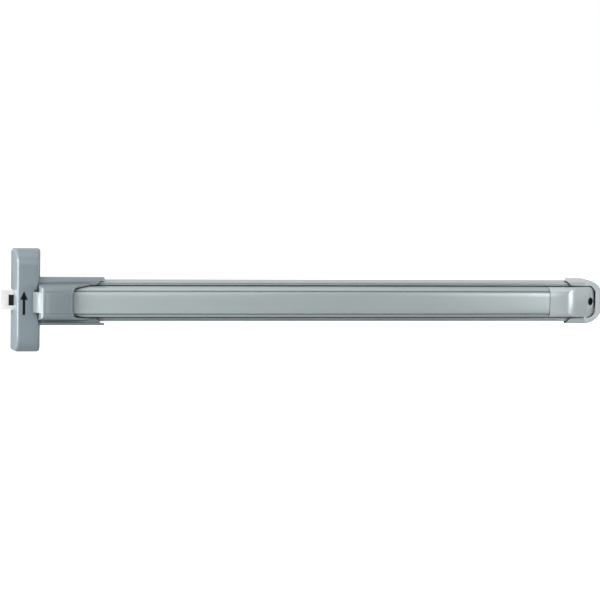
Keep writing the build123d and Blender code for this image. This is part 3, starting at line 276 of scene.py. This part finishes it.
@dataclass(frozen=True)
class Finish:
    """One procedural surface finish.

    Args:
        name: the material's name.
        colour: main colour, linear.
        rubbed_and_highlit_colour: colour of the lighter edges, partly rubbed finish and partly a painted
            edge highlight.
        metallic: 0 for paint and plastic, 1 for bare metal.
        roughness: mean roughness.
        grain: which fine pattern it carries.
        bump: height of the grain in metres.
        tone_change: how far the colour follows the grain.
        edge_rub_and_highlight: strength of the lighter edges, partly rubbed finish and partly a painted edge
            highlight.
        coat: strength of a clear coat.
        shine: how strongly the surface under the coat reflects.
    """

    name: str
    colour: tuple
    rubbed_and_highlit_colour: tuple
    metallic: float = 0.0
    roughness: float = 0.4
    grain: Grain = Grain.SPRAYED
    bump: float = 0.00001
    tone_change: float = 0.06
    edge_rub_and_highlight: float = 0.5
    coat: float = 0.0
    shine: float = 0.5

    def make(self, groups: Groups) -> bpy.types.Material:
        """Build the material.

        Args:
            groups: the shared shader groups.

        Returns:
            The finished material.
        """
        material = bpy.data.materials.new(self.name)
        material.use_nodes = True
        tree = material.node_tree
        tree.nodes.clear()
        build = NodeBuilder(tree)
        output = build.add("ShaderNodeOutputMaterial")
        shader = build.add("ShaderNodeBsdfPrincipled")
        build.link(shader.outputs["BSDF"], output.inputs["Surface"])
        shader.inputs["Metallic"].default_value = self.metallic
        shader.inputs["Coat Weight"].default_value = self.coat
        shader.inputs["Coat Roughness"].default_value = 0.12
        shader.inputs["Specular IOR Level"].default_value = self.shine
        place = build.add("ShaderNodeTexCoord").outputs["Object"]
        pattern = groups.orange_peel if self.grain is Grain.SPRAYED else groups.drawn_lines
        grain = self.group(build, pattern, place)
        # lighter edges: partly rubbed finish, partly a painted edge highlight
        edge_rub_and_highlight = self.group(build, groups.rubbed_and_highlit_edges, place)
        edge_rub_and_highlight.inputs["Amount"].default_value = self.edge_rub_and_highlight
        smear = self.group(build, groups.handling, place)
        colour = self.tinted(build, grain.outputs["Tone"])
        colour = self.mixed(build, edge_rub_and_highlight.outputs["Mask"], colour, self.rubbed_and_highlit_colour)
        # painted shade: colour darkened towards SHADE in slots and seams by ambient occlusion
        painted_shade = self.group(build, groups.painted_shade, place)
        colour = self.mixed(build, painted_shade.outputs["Mask"], colour, SHADE)
        build.link(colour, shader.inputs["Base Color"])
        rough = build.maths("MULTIPLY", smear.outputs["Mask"], 0.05)
        rough = build.maths("ADD", rough, self.roughness - 0.03)
        rough = build.maths("ADD", rough, build.maths("MULTIPLY", grain.outputs["Tone"], 0.06))
        build.link(rough, shader.inputs["Roughness"])
        bump = build.add("ShaderNodeBump")
        bump.inputs["Distance"].default_value = self.bump
        bump.inputs["Strength"].default_value = 1.0
        build.link(grain.outputs["Height"], bump.inputs["Height"])
        build.link(bump.outputs["Normal"], shader.inputs["Normal"])
        return material

    @staticmethod
    def group(build: NodeBuilder, tree: bpy.types.NodeTree, place: bpy.types.NodeSocket) -> bpy.types.Node:
        """Place a shared group and feed it the coordinates.

        Args:
            build: builder of the material's tree.
            tree: the shared group.
            place: the coordinates' socket.

        Returns:
            The group's node.
        """
        node = build.add("ShaderNodeGroup", node_tree=tree)
        build.link(place, node.inputs["Vector"])
        return node

    def tinted(self, build: NodeBuilder, tone: bpy.types.NodeSocket) -> bpy.types.NodeSocket:
        """Main colour made a little darker and lighter by the grain.

        Args:
            build: builder of the material's tree.
            tone: the grain's tone socket.

        Returns:
            The colour's socket.
        """
        mix = build.add("ShaderNodeMix", data_type="RGBA")
        build.link(tone, mix.inputs[0])
        for slot, change in ((6, -self.tone_change), (7, self.tone_change)):
            shade = [min(1.0, channel * (1.0 + change)) for channel in self.colour]
            mix.inputs[slot].default_value = (*shade, 1.0)
        return mix.outputs[2]

    @staticmethod
    def mixed(build: NodeBuilder, mask: bpy.types.NodeSocket, colour: bpy.types.NodeSocket,
              other: tuple) -> bpy.types.NodeSocket:
        """Blend a colour socket towards a fixed colour by a mask.

        Args:
            build: builder of the material's tree.
            mask: the mask's socket.
            colour: the colour's socket.
            other: the fixed colour.

        Returns:
            The blended colour's socket.
        """
        mix = build.add("ShaderNodeMix", data_type="RGBA")
        build.link(mask, mix.inputs[0])
        build.link(colour, mix.inputs[6])
        mix.inputs[7].default_value = (*other, 1.0)
        return mix.outputs[2]


FINISHES = (
    Finish("case_paint", (0.275, 0.335, 0.365), BARE_AND_HIGHLIGHT, roughness=0.38, metallic=0.2, coat=0.22),
    Finish("cowl_paint", (0.255, 0.305, 0.325), BARE_AND_HIGHLIGHT, roughness=0.38, metallic=0.2, coat=0.2),
    Finish("cap_paint", (0.56, 0.625, 0.645), BARE_AND_HIGHLIGHT, roughness=0.30, metallic=0.35, coat=0.3),
    Finish("rail_metal", (0.52, 0.58, 0.59), BARE_AND_HIGHLIGHT, roughness=0.38, metallic=0.6,
           grain=Grain.DRAWN, bump=0.000004),
    Finish("bar_metal", (0.49, 0.555, 0.565), BARE_AND_HIGHLIGHT, roughness=0.40, metallic=0.5,
           grain=Grain.DRAWN, bump=0.000004),
    Finish("latch_metal", (0.91, 0.915, 0.91), (0.95, 0.95, 0.95), roughness=0.24, metallic=0.42,
           bump=0.000004),
    Finish("trigger_plastic", (0.006, 0.006, 0.007), (0.02, 0.02, 0.02), roughness=0.55, edge_rub_and_highlight=0.3,
           shine=0.15),
    Finish("zinc_plate", (0.52, 0.53, 0.52), BARE_AND_HIGHLIGHT, roughness=0.38, metallic=1.0, tone_change=0.16),
    Finish("crank_steel", (0.22, 0.22, 0.23), BARE_AND_HIGHLIGHT, roughness=0.42, metallic=1.0, tone_change=0.12),
    Finish("pin_steel", (0.50, 0.50, 0.51), BARE_AND_HIGHLIGHT, roughness=0.25, metallic=1.0, bump=0.000003),
    Finish("screw_steel", (0.55, 0.56, 0.57), BARE_AND_HIGHLIGHT, roughness=0.30, metallic=1.0, bump=0.000004),
    Finish("black_oxide", (0.012, 0.012, 0.013), (0.1, 0.1, 0.1), roughness=0.5, metallic=0.3,
           edge_rub_and_highlight=0.2),
    Finish("rivet_aluminium", (0.60, 0.60, 0.61), BARE_AND_HIGHLIGHT, roughness=0.35, metallic=1.0),
    Finish("spring_steel", (0.20, 0.20, 0.21), BARE_AND_HIGHLIGHT, roughness=0.30, metallic=1.0),
    Finish("bronze", (0.42, 0.25, 0.10), (0.6, 0.4, 0.2), roughness=0.40, metallic=1.0),
    Finish("nylon", (0.66, 0.66, 0.61), (0.7, 0.7, 0.66), roughness=0.50, edge_rub_and_highlight=0.1),
)


class Palette:
    """All finishes by material slot."""

    def __init__(self) -> None:
        """Build the groups and every material."""
        groups = Groups()
        self.materials = {finish.name: finish.make(groups) for finish in FINISHES}

    def __getitem__(self, slot: str) -> bpy.types.Material:
        """Return the material of a slot."""
        return self.materials[slot]


# ---------------------------------------------------------------- mesh tools
MERGE_DISTANCE = 2e-6
FLAT_DEGREES = 0.08             # triangles this close to flat belong to one face
RIM_SEGMENTS = 3
MOUTH_NORMAL = Vector((28.0, -33.9, 0.0)).normalized()
MOUTH_ROUNDING = 0.0012
RIMS = {"cowl": ((MOUTH_NORMAL, MOUTH_ROUNDING),)}


def node_slot(node: str) -> str:
    """Material slot that the record gives a CAD node.

    Args:
        node: the CAD node.

    Returns:
        The slot's name.
    """
    for entry in frame["record"]["subparts"]:
        if entry["node"] == node:
            return entry["material_slot"]
    raise KeyError(node)


def node_body(node: str) -> str:
    """Body that a CAD node belongs to.

    Args:
        node: the CAD node.

    Returns:
        The body's name.
    """
    for body, members in frame["record"]["behaviour"]["bodies"].items():
        if node in members:
            return body
    raise KeyError(node)


def to_object(mesh: bmesh.types.BMesh, name: str) -> bpy.types.Object:
    """Turn a bmesh into a linked object at the origin and free the bmesh.

    Args:
        mesh: the finished bmesh.
        name: name of the object and its mesh.

    Returns:
        The object.
    """
    data = bpy.data.meshes.new(name)
    mesh.to_mesh(data)
    mesh.free()
    obj = bpy.data.objects.new(name, data)
    bpy.context.scene.collection.objects.link(obj)
    return obj


def smooth_by_angle(mesh: bmesh.types.BMesh, degrees: float) -> None:
    """Shade smooth, with sharp edges kept where faces meet above an angle.

    Args:
        mesh: the mesh.
        degrees: the angle.
    """
    limit = math.radians(degrees)
    for face in mesh.faces:
        face.smooth = True
    for edge in mesh.edges:
        if len(edge.link_faces) == 2:
            edge.smooth = edge.calc_face_angle(0.0) < limit


def clean_copy(node: str) -> bmesh.types.BMesh:
    """Copy of a CAD node's mesh with its triangles joined into whole faces.

    Args:
        node: the CAD node.

    Returns:
        The copy.
    """
    mesh = bmesh.new()
    mesh.from_mesh(frame["nodes"][node].data)
    bmesh.ops.remove_doubles(mesh, verts=mesh.verts, dist=MERGE_DISTANCE)
    bmesh.ops.dissolve_limit(mesh, angle_limit=math.radians(FLAT_DEGREES), verts=mesh.verts,
                             edges=mesh.edges)
    return mesh


def round_edges(mesh: bmesh.types.BMesh, chosen: Iterable[bmesh.types.BMEdge], width: float,
                segments: int) -> list:
    """Round over the chosen edges.

    Args:
        mesh: the mesh.
        chosen: its edges to round over.
        width: bevel width in metres.
        segments: steps across each bevel.

    Returns:
        The faces of the bevels.
    """
    made = bmesh.ops.bevel(mesh, geom=list(chosen), offset=width, offset_type="OFFSET", segments=segments,
                           profile=0.5, affect="EDGES", clamp_overlap=True, material=-1)
    return made["faces"]


def sharp_edges(mesh: bmesh.types.BMesh, degrees: float = 28.0) -> list:
    """Edges where two faces meet above an angle."""
    limit = math.radians(degrees)
    return [edge for edge in mesh.edges if len(edge.link_faces) == 2 and edge.calc_face_angle(0.0) > limit]


def rim_edges(mesh: bmesh.types.BMesh, across: Vector) -> list:
    """Sharp convex edges between a cut face and a face outside it.

    Args:
        mesh: the mesh.
        across: the cut face's normal.

    Returns:
        The edges.
    """
    chosen = []
    for edge in sharp_edges(mesh):
        cut, other = sorted((face.normal for face in edge.link_faces), key=lambda n: -n.dot(across))
        middle = (edge.verts[0].co + edge.verts[1].co) / 2
        outside = other.z * middle.z > 0.0 or (abs(other.z) < 0.5 and other.y < 0.0)
        if cut.dot(across) > 0.99 and outside and edge.is_convex:
            chosen.append(edge)
    return chosen


def rounded_copy(node: str, width: float, segments: int = 2) -> bpy.types.Object:
    """Copy of a CAD node with its sharp edges rounded over.

    Args:
        node: the CAD node.
        width: bevel width in metres.
        segments: steps across each bevel.

    Returns:
        The new object.
    """
    mesh = clean_copy(node)
    for across, rim_width in RIMS.get(node, ()):
        round_edges(mesh, rim_edges(mesh, across), rim_width, RIM_SEGMENTS)
    round_edges(mesh, sharp_edges(mesh), width, segments)
    smooth_by_angle(mesh, 24.0)
    return to_object(mesh, node + "_shell")


@dataclass
class SubAssembly:
    """A group of pieces that are dressed together.

    Args:
        palette: all finishes.
        special: CAD nodes with a finish of their own in place of their slot's.
    """

    palette: Palette
    special: dict = field(default_factory=lambda: {"bar_end_screw": "black_oxide"})

    def take(self, piece: bpy.types.Object, body: str, slot: str,
             replaces: Iterable[str] = ()) -> bpy.types.Object:
        """Hang a new piece on its body and give it its slot's material.

        Args:
            piece: the finished object.
            body: the CAD body that it moves with.
            slot: the material slot that it belongs to.
            replaces: CAD nodes that it stands for.

        Returns:
            The piece.
        """
        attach(piece, body)
        for node in replaces:
            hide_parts(node)
        piece.data.materials.clear()
        piece.data.materials.append(self.palette[slot])
        LOG.info("%s rides on %s", piece.name, body)
        return piece

    def dress(self, node: str) -> None:
        """Give a CAD node that stays its material.

        Args:
            node: the CAD node.
        """
        obj = frame["nodes"][node]
        material = self.palette[self.special.get(node, node_slot(node))]
        if obj.material_slots:
            for slot in obj.material_slots:
                slot.material = material
        else:
            obj.data.materials.append(material)

    def soften(self, node: str, width: float, segments: int = 2) -> bpy.types.Object:
        """Replace a CAD node by a copy with rounded edges."""
        piece = rounded_copy(node, width, segments)
        return self.take(piece, node_body(node), node_slot(node), [node])


@dataclass
class Shells(SubAssembly):
    """The visible covers and extrusions."""

    widths: dict = field(default_factory=lambda: {
        "case_cover": 0.0003, "rail": 0.0003, "push_bar": 0.0003, "cowl": 0.0005,
        "bar_end_piece": 0.0003, "latch_bolt": 0.0003, "latch_trigger": 0.0002})

    def build(self) -> None:
        """Round over each visible shell."""
        for node, width in self.widths.items():
            self.soften(node, width)


@dataclass
class MouthHighlightStrip(SubAssembly):
    """Painted highlight: a strip in the near-white latch finish over the rounded rim of the cowl's mouth,
    where the bar slides in, standing in for the light on that edge.
    """

    width: float = MOUTH_ROUNDING
    lift: float = 0.00007       # above the cowl's own rounded edge

    def build(self) -> None:
        """Round the mouth's outer edge and keep the strip that this makes."""
        mesh = clean_copy("cowl")
        edges = rim_edges(mesh, MOUTH_NORMAL)
        strip = set(round_edges(mesh, edges, self.width, RIM_SEGMENTS))
        bmesh.ops.delete(mesh, geom=[face for face in mesh.faces if face not in strip], context="FACES")
        mesh.normal_update()
        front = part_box("cowl")[0][1]
        for vert in mesh.verts:
            vert.co += vert.normal * self.lift
            vert.co.y = max(vert.co.y, front)
        smooth_by_angle(mesh, 60.0)
        LOG.info("mouth edge: %d faces from %d edges", len(mesh.faces), len(edges))
        # painted highlight: the strip takes the near-white latch finish
        self.take(to_object(mesh, "cowl_mouth_highlight"), node_body("cowl"), "latch_metal")


@dataclass
class RecessShadeSleeve(SubAssembly):
    """Painted shade: a black sleeve round the screw in the end piece's recess, standing in for the shadow
    inside it.
    """

    radius: float = 0.00562
    wall: float = 0.0005
    depth: tuple = (0.0004, 0.0058)
    from_tip: float = 0.00658       # the recess's centre, back from the end piece's tip
    below_face: float = 0.02721     # and behind the bar's face
    slope: float = math.atan2(32.0, 44.0)
    steps: int = 40

    def build(self) -> None:
        """Lathe the sleeve round its axis and turn it square to the slope."""
        inner = self.radius - self.wall
        near, far = self.depth
        mesh = bmesh.new()
        corners = ((inner, near), (self.radius, near), (self.radius, far), (inner, far))
        ring = [mesh.verts.new((reach, 0.0, height)) for reach, height in corners]
        edges = [mesh.edges.new((corner, ring[index - 1])) for index, corner in enumerate(ring)]
        bmesh.ops.spin(mesh, geom=ring + edges, axis=(0, 0, 1), cent=(0, 0, 0), steps=self.steps,
                       angle=2 * math.pi, use_merge=True)
        bmesh.ops.remove_doubles(mesh, verts=mesh.verts, dist=1e-7)
        bmesh.ops.recalc_face_normals(mesh, faces=mesh.faces)
        low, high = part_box("bar_end_piece")
        inward = Vector((-math.sin(self.slope), math.cos(self.slope), 0.0))
        place = Matrix.Translation((high[0] - self.from_tip, low[1] + self.below_face, 0.0))
        turn = inward.to_track_quat("Z", "Y").to_matrix().to_4x4()
        bmesh.ops.transform(mesh, matrix=place @ turn, verts=mesh.verts)
        smooth_by_angle(mesh, 40.0)
        # painted shade: the sleeve takes the black trigger finish
        self.take(to_object(mesh, "recess_shade_sleeve"), node_body("bar_end_piece"), "trigger_plastic")


@dataclass
class Pictogram(SubAssembly):
    """Plain printed arrow on the front of the case."""

    centre: tuple = (-0.0062, -0.0018)      # X and Z
    length: float = 0.034
    head: tuple = (0.0105, 0.0125)          # width and length
    shaft: float = 0.0036
    ink: float = 0.00006                    # thickness on the case's front

    def build(self) -> None:
        """Raise a thin arrow from its outline."""
        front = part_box("case_cover")[0][1]
        middle, height = self.centre
        half, (wide, long) = self.length / 2, self.head
        outline = [
            (-self.shaft / 2, -half), (self.shaft / 2, -half), (self.shaft / 2, half - long),
            (wide / 2, half - long), (0.0, half), (-wide / 2, half - long), (-self.shaft / 2, half - long),
        ]
        mesh = bmesh.new()
        face = mesh.faces.new([mesh.verts.new((middle + x, front, height + z)) for x, z in outline])
        raised = bmesh.ops.extrude_face_region(mesh, geom=[face])
        corners = [item for item in raised["geom"] if isinstance(item, bmesh.types.BMVert)]
        bmesh.ops.translate(mesh, verts=corners, vec=(0.0, -self.ink, 0.0))
        bmesh.ops.recalc_face_normals(mesh, faces=mesh.faces)
        self.take(to_object(mesh, "case_arrow"), node_body("case_cover"), "trigger_plastic")


@dataclass
class Studio:
    """Camera, lights, floor and background."""

    turn: float = 10.6          # degrees to the left of square on
    rise: float = 4.98
    roll: float = 0.972
    distance: float = 4.347
    frame_width: float = 0.86442        # metres across the frame at the target
    target: tuple = (0.3929, -0.030, 0.0014)
    middle: tuple = (0.4, 0.0, 0.0)     # what the lights aim at
    floor_height: float = -1.0
    floor_reach: float = 40.0
    floor_glow: tuple = (1.0, 0.05)     # seen and cast
    front_to_back: tuple = (-0.95, 0.15, 0.34, 0.86)
    low_to_high: tuple = (-0.3, 0.5, 0.74, 0.84)
    boxes: tuple = (                    # name, place, size and power
        ("left", (-3.4, -1.1, 0.7), (1.8, 2.6), 175.0),
        ("right", (3.5, -2.3, 0.5), (0.9, 2.0), 38.0),
        ("top", (0.4, -0.8, 3.0), (3.4, 1.6), 8.0),
        ("front", (-0.5, -5.0, 2.0), (3.0, 2.0), 25.0),
    )

    def build(self) -> None:
        """Add all that isn't part of the object."""
        self.camera()
        self.lights()
        self.floor()
        self.world()

    def camera(self) -> None:
        """Put the camera on its line to the target and set its lens."""
        turn, rise, roll = (math.radians(v) for v in (self.turn, self.rise, self.roll))
        back = Vector((-math.sin(turn) * math.cos(rise), -math.cos(turn) * math.cos(rise), math.sin(rise)))
        right = (-back).cross(Vector((0, 0, 1))).normalized()
        upward = right.cross(-back)
        tilted = right * math.cos(roll) + upward * math.sin(roll)
        raised = upward * math.cos(roll) - right * math.sin(roll)
        data = bpy.data.cameras.new("camera")
        data.sensor_width = 36.0
        data.lens = self.distance / self.frame_width * data.sensor_width
        data.clip_end = 60.0
        obj = bpy.data.objects.new("camera", data)
        turned = Matrix((tilted, raised, back)).transposed().to_4x4()
        obj.matrix_world = Matrix.Translation(Vector(self.target) + back * self.distance) @ turned
        bpy.context.scene.collection.objects.link(obj)
        bpy.context.scene.camera = obj

    def lights(self) -> None:
        """Soft boxes to the left, the right, above and in front."""
        for name, place, size, power in self.boxes:
            data = bpy.data.lights.new(name, "AREA")
            data.shape = "RECTANGLE"
            data.size, data.size_y = size
            data.energy = power
            obj = bpy.data.objects.new(name, data)
            aim = Vector(self.middle) - Vector(place)
            obj.rotation_euler = aim.to_track_quat("-Z", "Y").to_euler()
            obj.location = place
            bpy.context.scene.collection.objects.link(obj)

    def floor(self) -> None:
        """Pale floor below the device that runs on to the white background."""
        mesh = bmesh.new()
        bmesh.ops.create_grid(mesh, x_segments=1, y_segments=1, size=self.floor_reach)
        bmesh.ops.translate(mesh, verts=mesh.verts, vec=(self.middle[0], 0.0, self.floor_height))
        obj = to_object(mesh, "floor")
        material = bpy.data.materials.new("floor")
        material.use_nodes = True
        shader = material.node_tree.nodes["Principled BSDF"]
        shader.inputs["Base Color"].default_value = (0.4, 0.4, 0.4, 1.0)
        shader.inputs["Roughness"].default_value = 0.9
        shader.inputs["Emission Color"].default_value = (1.0, 1.0, 1.0, 1.0)
        build = NodeBuilder(material.node_tree)
        build.link(self.shown_and_cast(build, self.floor_glow), shader.inputs["Emission Strength"])
        obj.data.materials.append(material)

    def world(self) -> None:
        """White surround, dim in front of the device and bright behind and beside it."""
        world = bpy.data.worlds.new("world")
        bpy.context.scene.world = world
        world.use_nodes = True
        build = NodeBuilder(world.node_tree)
        shade = world.node_tree.nodes["Background"]
        shade.inputs["Color"].default_value = (1.0, 1.0, 1.0, 1.0)
        parts = build.add("ShaderNodeSeparateXYZ")
        build.link(build.add("ShaderNodeTexCoord").outputs["Generated"], parts.inputs[0])
        glow = self.graded(build, parts.outputs["Y"], self.front_to_back)
        glow = build.maths("MULTIPLY", glow, self.graded(build, parts.outputs["Z"], self.low_to_high))
        seen = build.add("ShaderNodeLightPath").outputs["Is Camera Ray"]
        hidden = build.maths("MULTIPLY", build.maths("SUBTRACT", 1.0, seen), glow)
        build.link(build.maths("ADD", seen, hidden), shade.inputs["Strength"])
        bpy.context.scene.view_settings.view_transform = "Standard"

    @staticmethod
    def graded(build: NodeBuilder, value: bpy.types.NodeSocket, limits: tuple) -> bpy.types.NodeSocket:
        """Map a value smoothly between two strengths.

        Args:
            build: builder of the tree.
            value: the value's socket.
            limits: lowest and highest value, and the strength at each.

        Returns:
            The strength's socket.
        """
        ramp = build.add("ShaderNodeMapRange", interpolation_type="SMOOTHSTEP")
        for label, limit in zip(("From Min", "From Max", "To Min", "To Max"), limits):
            ramp.inputs[label].default_value = limit
        build.link(value, ramp.inputs["Value"])
        return ramp.outputs["Result"]

    @staticmethod
    def shown_and_cast(build: NodeBuilder, strengths: tuple) -> bpy.types.NodeSocket:
        """One strength for what is seen straight on and another for the light it casts.

        Args:
            build: builder of the tree.
            strengths: the seen strength and the cast strength.

        Returns:
            The strength's socket.
        """
        seen, cast = strengths
        path = build.add("ShaderNodeLightPath")
        extra = build.maths("MULTIPLY", path.outputs["Is Camera Ray"], seen - cast)
        return build.maths("ADD", extra, cast)


def main() -> None:
    """Dress every CAD node, build the new pieces and set the studio."""
    logging.basicConfig(level=logging.INFO, format="%(message)s")
    palette = Palette()
    shells = Shells(palette)
    for node in frame["nodes"]:
        shells.dress(node)
    shells.build()
    MouthHighlightStrip(palette).build()
    RecessShadeSleeve(palette).build()
    Pictogram(palette).build()
    Studio().build()


if __name__ == "__main__":
    main()
